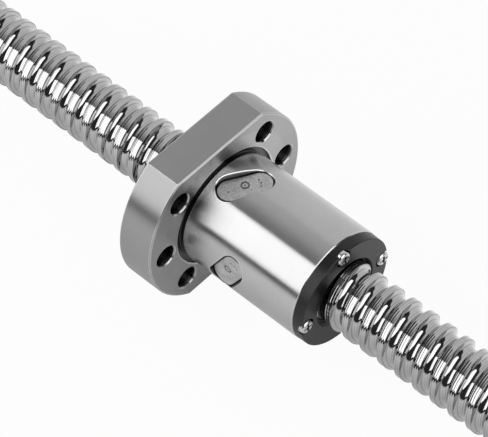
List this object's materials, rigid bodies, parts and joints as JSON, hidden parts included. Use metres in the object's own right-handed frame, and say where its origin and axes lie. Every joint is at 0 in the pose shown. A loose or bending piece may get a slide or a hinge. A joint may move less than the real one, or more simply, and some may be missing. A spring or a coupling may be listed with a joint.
{
  "type": "ball screw nut",
  "caption": "Flanged ball nut on its rolled screw, with ball returns let into the body and plastic end caps over felt wipers.",
  "frame": {"origin": "on the screw's axis, in the plane of the flange face that bolts to a housing", "axes": "+X along the screw's axis, from the flange towards the nut's capped end; +Z towards one flat of the flange"},
  "size_m": [0.2, 0.048, 0.04],
  "materials": {
    "ground_steel": "turned and ground",
    "rolled_steel": "rolled and polished",
    "insert_steel": "sintered, dull",
    "ball_steel": "polished",
    "cap_plastic": "moulded, satin",
    "screw_plating": "zinc plated",
    "wiper_felt": "felt",
    "plug_steel": "black oxide"
  },
  "bodies": {
    "nut": {"nut_body": "ground_steel", "nut_thread": "ground_steel", "return_insert_1": "insert_steel", "return_insert_2": "insert_steel", "return_insert_3": "insert_steel", "return_insert_4": "insert_steel", "ball_circuit_1": "ball_steel", "ball_circuit_2": "ball_steel", "ball_circuit_3": "ball_steel", "ball_circuit_4": "ball_steel", "front_cap": "cap_plastic", "rear_cap": "cap_plastic", "front_cap_screws": "screw_plating", "rear_cap_screws": "screw_plating", "grease_plug": "plug_steel"},
    "wipers": {"front_wiper": "wiper_felt", "rear_wiper": "wiper_felt"},
    "screw": {"screw_shaft": "rolled_steel"}
  },
  "joints": [
    {"name": "screw_turn", "type": "hinge", "parent": "nut", "child": "wipers", "pos_m": [0, 0, 0], "axis": [1, 0, 0], "range_deg": [-4322, 4322]},
    {"name": "screw_travel", "type": "slide", "parent": "wipers", "child": "screw", "axis": [1, 0, 0], "range_m": [-0.06, 0.06]}
  ],
  "couplings": [
    {"joint": "screw_turn", "follows": "screw_travel", "rad_per_m": 1256.6}
  ]
}
